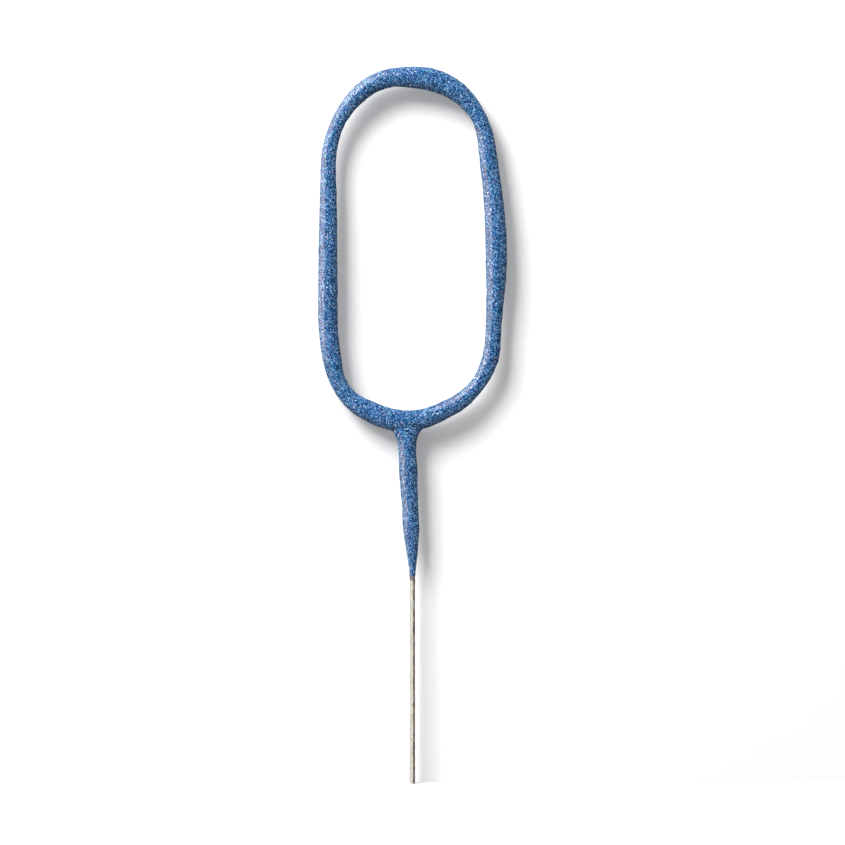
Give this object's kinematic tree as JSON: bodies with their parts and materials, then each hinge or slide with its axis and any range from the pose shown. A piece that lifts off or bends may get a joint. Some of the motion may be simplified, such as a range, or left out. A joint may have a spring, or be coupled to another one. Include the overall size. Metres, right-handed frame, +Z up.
{
  "type": "number sparkler candle",
  "caption": "Number sparkler candle shaped as a nought: a bent steel wire dipped in spark compound under blue glitter lacquer, with a bare wire handle.",
  "frame": {"origin": "centre of the cut face at the bottom of the wire handle", "axes": "+Z up along the handle towards the top of the nought, +X to the right as the nought is seen from its front, -Y towards the viewer of the front"},
  "size_m": [0.0469, 0.0058, 0.1778],
  "materials": {
    "bare_steel_wire": "drawn wire, faint drawing lines and brown handling stains",
    "spark_compound": "dry grey crust of metal powder and salt in a binder",
    "blue_glitter": "clear lacquer packed with fine blue foil glitter"
  },
  "bodies": {
    "root": {"wire_frame": "bare_steel_wire", "spark_compound": "spark_compound", "glitter_coat": "blue_glitter"}
  },
  "joints": []
}
